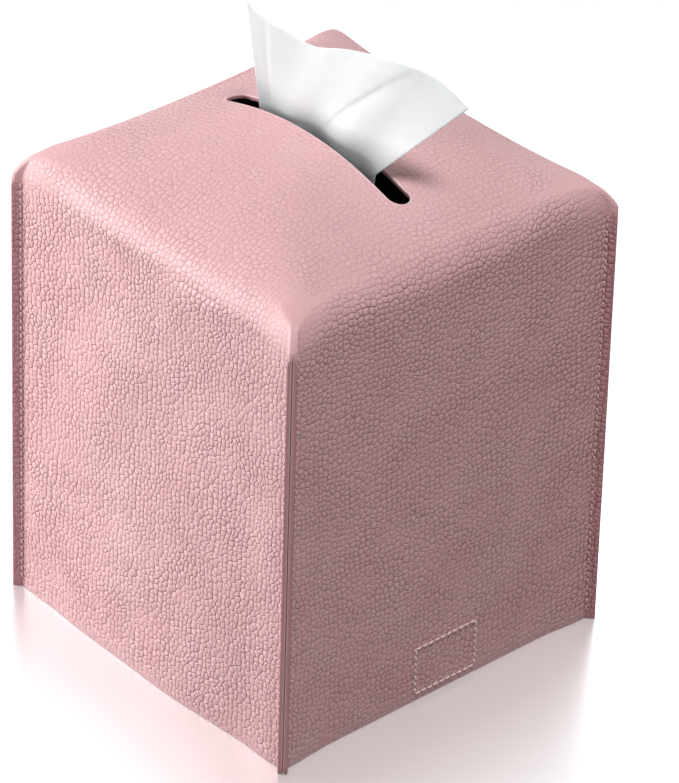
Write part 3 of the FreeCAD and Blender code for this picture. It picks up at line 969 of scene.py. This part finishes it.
def patchPiece(name, node, faceUp, finish, body, slot):
    # woven backing and its field of hooks or loops, which end at the patch's open face
    low, high = (corner[2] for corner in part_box(node))
    sign = 1.0 if faceUp else -1.0
    back = low if faceUp else high
    backing = sign * patch["backing"]
    slabPoints, slabFaces, slabCaps = roundedSlab(*sorted([back, back + backing]))
    tall = (high - low) - patch["backing"]
    field = patch[slot]
    rng = np.random.default_rng(field["seed"])
    spots = fieldSpots(field, back + backing * patch["sunk"], rng)
    if slot == "hooks":
        paths = hookPaths(len(spots), tall, sign, field)
    else:
        paths = loopPaths(len(spots), tall, sign, field, rng)
    points, faces, caps = threadField(spots, paths, field["thread"], field["sides"])
    start = len(slabPoints)
    points = np.concatenate([slabPoints, points])
    faces = np.concatenate([slabFaces, faces + start])
    addPiece(name, points, faces, finish, body, [node], caps=[*slabCaps, *(caps + start)])


patchPiece("hookTape", "hook_patch", True, hookFinish, "lower_strap", "hooks")
patchPiece("loopTape", "loop_patch", False, loopFinish, "upper_strap", "loops")
sewn = [patch[key] - 2 * patch["inset"] for key in ("width", "depth")]
for name, level, way in (("hook", belt["lowLevel"] - patch["sewnOff"], -1),
                         ("loop", belt["highLevel"] + patch["sewnOff"], 1)):
    loop = sewnLoop((0, patch["middle"], level), (1, 0, 0), (0, way, 0), *sewn)
    strap = {"hook": "lower_strap", "loop": "upper_strap"}[name]
    stitchRow(name + "Thread", *loop, strap, name + "_patch_stitching", stitch["patch"])

# Tissue
tissue = dict(
    across=141, up=91, thickness=0.22 * mm, mapSize=(95 * mm, 64 * mm),
    tail=(-23.5, 23.0, 141.5), slot=(-26.3, 25.6, 167.5),  # left end, right end and height, in mm
    slotTurn=(0.4, 0.8), slotBulge=(-2.2, 2.6), slotShare=0.42,
    edge=((0.00, -28.4, -3.0, 200.7), (0.05, -26.0, -2.6, 198.5), (0.15, -17.0, -2.4, 197.8),
          (0.27, -5.5, -0.6, 196.6), (0.50, 13.6, 0.4, 202.2), (0.70, 32.2, 3.2, 205.3),
          (0.86, 43.2, 8.2, 202.5), (1.00, 52.1, 12.0, 195.9)),  # share across, then x, y and z in mm
    pleats=5, pleatDepth=0.9, pleatStart=0.4, pleatFade=0.75,
    crease=(0.09, 0.02, 0.018, 0.7, 1.3, 1.0),  # place, slant, width, depth in mm, and its fall upwards
    hollow=(0.33, 0.05, 0.11, -1.4, 1.0, 0.4),
    fold=(0.50, 0.26, 0.3), foldWidths=(0.06, 0.012, 0.2), foldFade=0.7,
    # the last two: heights over which painted shade comes in at the slot, and shares across for the left
    # part
    slotShadeFrom=(177 * mm, 166 * mm), leftShadeFrom=(0.55, 0.05),
)


def tissueSheet(form):
    # a ruled sheet: tail, slot line and top edge are three curves, joined by straight runs upwards;
    # pleats in the slot are a sine across the sheet that dies out above it
    u = linspace(0, 1, form["across"])
    v = linspace(0, 1, form["up"])[:, None]
    edge = np.array(form["edge"])
    top = smoothThrough(edge[:, 0], edge[:, 1:], u)
    left, right, height = form["slot"]
    turn, bulge = form["slotTurn"], form["slotBulge"]
    level = height + bulge[0] + bulge[1] * sin(pi * u)
    slotLine = together(left + (right - left) * u, turn[0] + turn[1] * u, level)
    left, right, height = form["tail"]
    tail = together(left + (right - left) * u, 0.0, height)
    below = np.clip(v / form["slotShare"], 0, 1)
    above = np.clip((v - form["slotShare"]) / (1 - form["slotShare"]), 0, 1)
    shares = (1 - below, np.where(above > 0, 1 - above, below), above)
    points = sum(share[..., None] * line for share, line in zip(shares, (tail, slotLine, top)))
    pleat = sin(pi * form["pleats"] * u + form["pleatStart"]) * form["pleatDepth"]
    points[..., 1] += pleat * (1 - eased(0, form["pleatFade"], above))
    for place, lean, width, depth, start, fall in (form["crease"], form["hollow"]):
        points[..., 1] += depth * bell(u, place + lean * above, width) * above * (start - fall * above)
    place, lean, depth = form["fold"]
    wide, sharp, fading = form["foldWidths"]
    slant = u - (place + lean * above)
    fold = bell(slant, 0.0, wide) + np.tanh(slant / sharp) * bell(slant, 0.0, fading)
    points[..., 1] += depth * fold * sin(pi * above) ** form["foldFade"]
    points = points * mm
    wide, tall = form["mapSize"]
    flat = together(u * wide, v * tall)
    # painted shade near the slot and on the left part of the sheet
    marks = {"slotShade": eased(*form["slotShadeFrom"], points[..., 2]),
             "leftShade": eased(*form["leftShadeFrom"], u) + 0 * v}
    sheet = addPiece("tissueSheet", points, gridFaces(*points.shape[:2]), paperFinish, "drawn_tissue",
                     ["tissue"], cellCorners(flat[:-1], flat[1:]), marks, closed=False)
    thick = sheet.modifiers.new("thickness", "SOLIDIFY")
    thick.thickness = form["thickness"]
    thick.offset = 0.0
    return sheet


tissuePiece = tissueSheet(tissue)

# Floor, light and camera
studio = dict(
    floor=(0.93, 0.93, 0.93, 1), floorWhite=0.28, floorRough=0.28, floorGloss=0.9, floorHalf=6.0,
    polishReach=(62 * mm, 150 * mm), floorDim=(0.37, 0.34, 0.345, 1),
    sky=(1.0, 0.94, 0.95, 1), skyLight=0.1, aim=(0.0, 0.0, 0.09),
    lamps=dict(  # place, size and power
        above=((-0.50, -0.50, 0.60), 0.14, 0.9), front=((-0.43, -0.60, 0.21), 0.15, 1.75),
        back=((-0.3, 0.8, 0.7), 0.8, 1.8), left=((-0.47, -0.34, 0.16), 0.24, 3.05),
        right=((0.40, -0.12, 1.05), 0.2, 7.5),
    ),
)


def paleFloor(tone):
    # wide pale floor, polished near the cover: white light is added to what is seen of it,
    # and it throws less light back than it shows
    ground = Finish("paleFloor")
    away = ground.vector("ABSOLUTE", {0: ground.objectPlace()})
    polish = 1 - ground.steps(ground.part(away, 0).most(ground.part(away, 1)), *tone["polishReach"])
    gloss = {"Base Color": tone["floor"], "Roughness": tone["floorRough"],
             "Metallic": polish * tone["floorGloss"]}
    plain = ground.node("BsdfPrincipled", gloss)
    white = ground.node("Emission", {"Color": (1, 1, 1, 1), "Strength": tone["floorWhite"]})
    shown = ground.node("AddShader", {0: plain, 1: white})
    dim = ground.node("BsdfDiffuse", {"Color": tone["floorDim"]})
    both = ground.node("MixShader", {0: ground.seen(), 1: dim, 2: shown})
    ground.node("OutputMaterial", {"Surface": both})
    half = tone["floorHalf"]
    corners = [(-half, -half, 0), (half, -half, 0), (half, half, 0), (-half, half, 0)]
    mesh = bpy.data.meshes.new("floor")
    mesh.from_pydata(corners, [], [(0, 1, 2, 3)])
    mesh.materials.append(ground.material)
    addObject("floor", mesh)


def softLamp(name, place, size, power, aim):
    # square area lamp turned towards the cover
    data = bpy.data.lights.new(name, "AREA")
    data.size = size
    data.energy = power
    lamp = addObject(name, data)
    lamp.location = place
    lamp.rotation_euler = (Vector(aim) - Vector(place)).to_track_quat("-Z", "Y").to_euler()


def paleSky(tone):
    # even light from all round, white where the camera sees it
    sky = Finish("sky", bpy.data.worlds)
    bpy.context.scene.world = sky.material
    light = sky.node("Background", {"Color": tone["sky"], "Strength": tone["skyLight"]})
    seen = sky.node("Background", {"Color": (1, 1, 1, 1), "Strength": 1.0})
    both = sky.node("MixShader", {0: sky.seen(), 1: light, 2: seen})
    sky.node("OutputWorld", {"Surface": both})


paleFloor(studio)
paleSky(studio)
for name, lamp in studio["lamps"].items():
    softLamp(name + "Lamp", *lamp, studio["aim"])

view = dict(azimuth=47.82, elevation=33.54, roll=1.69, distance=1.9, middle=80 * mm,
            aside=9.16 * mm, upward=-2.36 * mm, lens=193.6, sensor=24)


def placeCamera(form):
    # the camera looks back along its own third axis; its first two are rolled a little
    azimuth, elevation, roll = np.radians([form["azimuth"], form["elevation"], form["roll"]])
    flat = cos(elevation)
    back = np.array([sin(azimuth) * flat, -cos(azimuth) * flat, sin(elevation)])
    right = unit(np.cross(-back, upright))
    upward = np.cross(right, -back)
    place = upright * form["middle"] + right * form["aside"] + upward * form["upward"]
    axes = np.eye(4)
    axes[:3, 0] = right * cos(roll) + upward * sin(roll)
    axes[:3, 1] = upward * cos(roll) - right * sin(roll)
    axes[:3, 2] = back
    axes[:3, 3] = place + back * form["distance"]
    data = bpy.data.cameras.new("camera")
    data.sensor_fit = "VERTICAL"
    data.sensor_height = form["sensor"]
    data.lens = form["lens"]
    data.clip_start = 0.05
    data.clip_end = 30.0
    camera = addObject("camera", data)
    camera.matrix_world = Matrix(axes.tolist())
    bpy.context.scene.camera = camera


placeCamera(view)
print("floor, light and camera placed")
bpy.context.view_layer.update()
